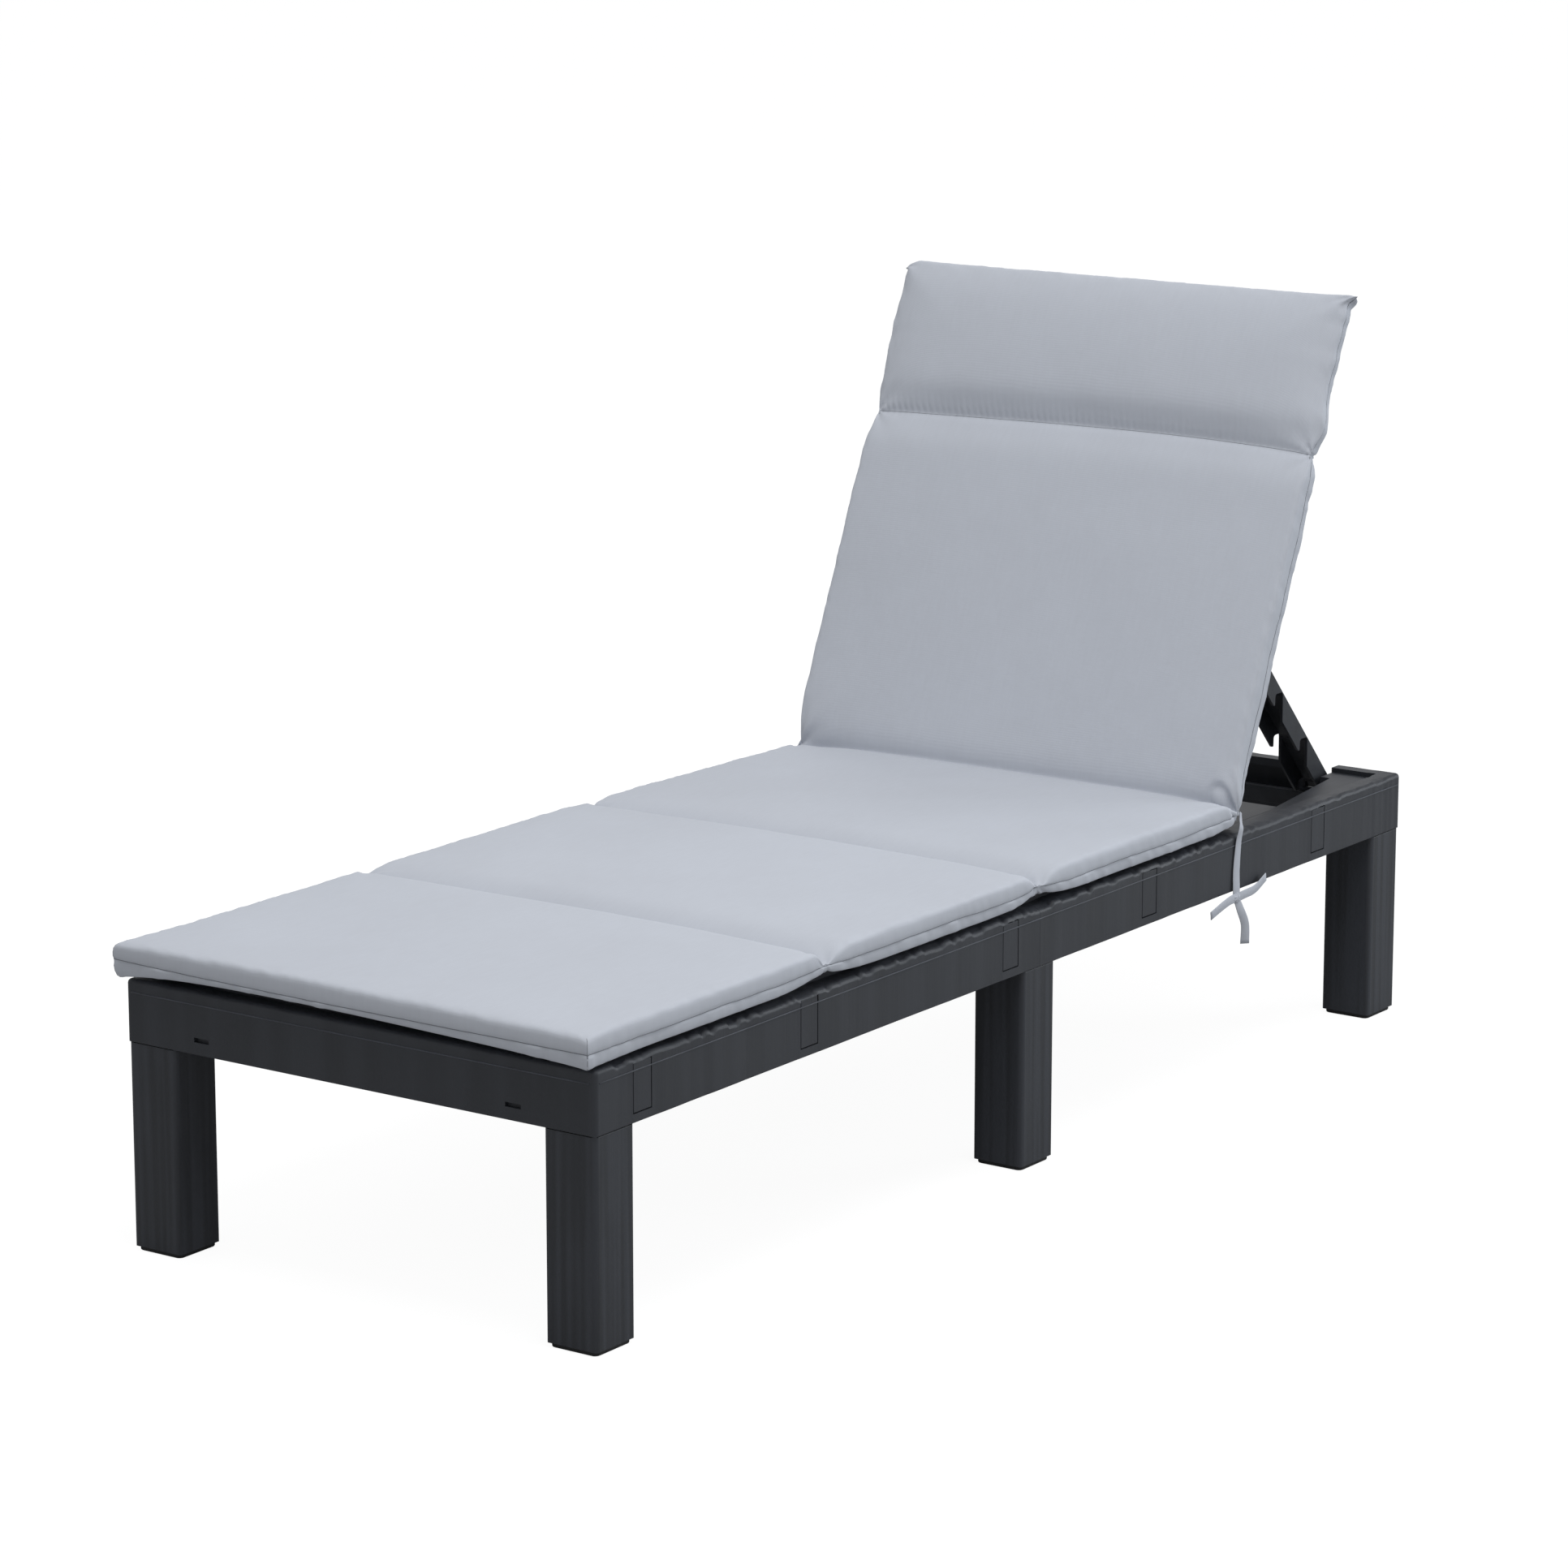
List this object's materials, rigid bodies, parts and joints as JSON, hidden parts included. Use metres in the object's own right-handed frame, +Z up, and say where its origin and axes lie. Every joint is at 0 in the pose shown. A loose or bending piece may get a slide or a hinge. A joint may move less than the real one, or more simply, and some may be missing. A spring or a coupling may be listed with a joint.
{
  "type": "sun lounger",
  "caption": "Low moulded sun lounger on square legs, with a notched prop behind a folding backrest and a sewn full-length cushion",
  "frame": {"origin": "On the floor, at the centre of the overall box, between the two long rails", "axes": "+X runs across to the right rail as seen by a person lying down from the foot end looking to the head end, +Y runs to the head end, +Z is up"},
  "size_m": [0.6318, 1.6354, 0.8945],
  "materials": {
    "graphite_plastic": "injection-moulded dark grey polypropylene with faint vertical grain",
    "foot_plastic": "black caps under the legs",
    "pin_steel": "plain hinge pins",
    "grey_fabric": "light grey woven polyester over foam"
  },
  "bodies": {
    "frame": {"foot_frame": "graphite_plastic", "head_frame": "graphite_plastic", "latch_plate_left_1": "graphite_plastic", "latch_plate_right_1": "graphite_plastic", "latch_plate_left_2": "graphite_plastic", "latch_plate_right_2": "graphite_plastic", "latch_plate_left_3": "graphite_plastic", "latch_plate_right_3": "graphite_plastic", "latch_plate_left_4": "graphite_plastic", "latch_plate_right_4": "graphite_plastic", "latch_plate_left_5": "graphite_plastic", "latch_plate_right_5": "graphite_plastic", "leg_foot_left": "graphite_plastic", "leg_foot_right": "graphite_plastic", "leg_middle_left": "graphite_plastic", "leg_middle_right": "graphite_plastic", "leg_head_left": "graphite_plastic", "leg_head_right": "graphite_plastic", "foot_cap_foot_left": "foot_plastic", "foot_cap_foot_right": "foot_plastic", "foot_cap_middle_left": "foot_plastic", "foot_cap_middle_right": "foot_plastic", "foot_cap_head_left": "foot_plastic", "foot_cap_head_right": "foot_plastic", "foot_deck": "graphite_plastic", "head_deck": "graphite_plastic", "deck_beam_1": "graphite_plastic", "deck_beam_2": "graphite_plastic", "deck_beam_3": "graphite_plastic", "hinge_beam": "graphite_plastic", "hinge_pin_left": "pin_steel", "hinge_pin_right": "pin_steel", "prop_rest_bar": "graphite_plastic", "seat_cushion": "grey_fabric", "cushion_tie_left": "grey_fabric", "cushion_tie_right": "grey_fabric"},
    "backrest": {"backrest_panel": "graphite_plastic", "back_cushion": "grey_fabric"},
    "prop": {"prop_arm_left": "graphite_plastic", "prop_arm_right": "graphite_plastic", "prop_cross_bar": "graphite_plastic", "prop_pin_left": "pin_steel", "prop_pin_right": "pin_steel"}
  },
  "joints": [
    {"name": "backrest_hinge", "type": "hinge", "parent": "frame", "child": "backrest", "pos_m": [0, 0.4527, 0.285], "axis": [1, 0, 0], "range_deg": [-66.75, 0]},
    {"name": "prop_hinge", "type": "hinge", "parent": "backrest", "child": "prop", "pos_m": [0, 0.56041, 0.52051], "axis": [1, 0, 0], "range_deg": [0, 114.1]}
  ],
  "couplings": [
    {"joint": "prop_hinge", "follows": "backrest_hinge", "ratio": -1.7086}
  ]
}
